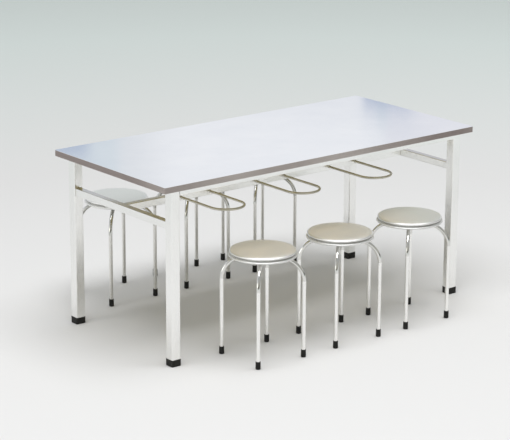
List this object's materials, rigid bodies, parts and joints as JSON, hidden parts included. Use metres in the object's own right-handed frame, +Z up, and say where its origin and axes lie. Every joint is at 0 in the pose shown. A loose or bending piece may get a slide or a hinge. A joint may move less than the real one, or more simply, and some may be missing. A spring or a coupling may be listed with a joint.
{
  "type": "dining table with loose stools",
  "caption": "Long dining table on a square steel frame, with U-shaped rods under its top for hanging stools, and loose round four-legged stools along both sides.",
  "frame": {"origin": "on the floor, under the centre of the tabletop", "axes": "+X along the table's length, +Y to its rear long side, +Z up"},
  "size_m": [1.65, 1.2825, 0.75],
  "materials": {
    "tabletop_steel": "satin",
    "edge_band": "satin",
    "board": "sealed",
    "frame_steel": "satin",
    "hanger_steel": "satin",
    "stool_steel": "polished",
    "seat_steel": "satin",
    "screw_steel": "zinc plated",
    "black_rubber": "matt"
  },
  "bodies": {
    "table": {"tabletop_core": "board", "tabletop_edge_band": "edge_band", "tabletop_steel_skin": "tabletop_steel", "tabletop_fixing_tabs": "frame_steel", "tabletop_screws": "screw_steel", "leg_foot_caps": "black_rubber", "front_left_leg": "frame_steel", "front_right_leg": "frame_steel", "rear_left_leg": "frame_steel", "rear_right_leg": "frame_steel", "front_top_rail": "frame_steel", "rear_top_rail": "frame_steel", "left_top_rail": "frame_steel", "right_top_rail": "frame_steel", "left_end_rail": "frame_steel", "right_end_rail": "frame_steel", "centre_beam": "frame_steel", "front_left_hanger": "hanger_steel", "front_middle_hanger": "hanger_steel", "front_right_hanger": "hanger_steel", "rear_left_hanger": "hanger_steel", "rear_middle_hanger": "hanger_steel", "rear_right_hanger": "hanger_steel"},
    "front_left_stool": {"front_left_stool_seat_top": "seat_steel", "front_left_stool_seat_pan": "seat_steel", "front_left_stool_mounting_plate": "stool_steel", "front_left_stool_leg_frame": "stool_steel", "front_left_stool_ferrules": "black_rubber"},
    "front_middle_stool": {"front_middle_stool_seat_top": "seat_steel", "front_middle_stool_seat_pan": "seat_steel", "front_middle_stool_mounting_plate": "stool_steel", "front_middle_stool_leg_frame": "stool_steel", "front_middle_stool_ferrules": "black_rubber"},
    "front_right_stool": {"front_right_stool_seat_top": "seat_steel", "front_right_stool_seat_pan": "seat_steel", "front_right_stool_mounting_plate": "stool_steel", "front_right_stool_leg_frame": "stool_steel", "front_right_stool_ferrules": "black_rubber"},
    "rear_left_stool": {"rear_left_stool_seat_top": "seat_steel", "rear_left_stool_seat_pan": "seat_steel", "rear_left_stool_mounting_plate": "stool_steel", "rear_left_stool_leg_frame": "stool_steel", "rear_left_stool_ferrules": "black_rubber"},
    "rear_middle_stool": {"rear_middle_stool_seat_top": "seat_steel", "rear_middle_stool_seat_pan": "seat_steel", "rear_middle_stool_mounting_plate": "stool_steel", "rear_middle_stool_leg_frame": "stool_steel", "rear_middle_stool_ferrules": "black_rubber"},
    "rear_right_stool": {"rear_right_stool_seat_top": "seat_steel", "rear_right_stool_seat_pan": "seat_steel", "rear_right_stool_mounting_plate": "stool_steel", "rear_right_stool_leg_frame": "stool_steel", "rear_right_stool_ferrules": "black_rubber"}
  },
  "joints": [
    {"name": "front_left_stool_slide", "type": "slide", "parent": "table", "child": "front_left_stool", "axis": [0, 1, 0], "range_m": [-0.35, 0.3]},
    {"name": "front_middle_stool_slide", "type": "slide", "parent": "table", "child": "front_middle_stool", "axis": [0, 1, 0], "range_m": [-0.35, 0.3]},
    {"name": "front_right_stool_slide", "type": "slide", "parent": "table", "child": "front_right_stool", "axis": [0, 1, 0], "range_m": [-0.35, 0.3]},
    {"name": "rear_left_stool_slide", "type": "slide", "parent": "table", "child": "rear_left_stool", "axis": [0, -1, 0], "range_m": [-0.35, 0.384]},
    {"name": "rear_middle_stool_slide", "type": "slide", "parent": "table", "child": "rear_middle_stool", "axis": [0, -1, 0], "range_m": [-0.35, 0.384]},
    {"name": "rear_right_stool_slide", "type": "slide", "parent": "table", "child": "rear_right_stool", "axis": [0, -1, 0], "range_m": [-0.35, 0.384]}
  ]
}
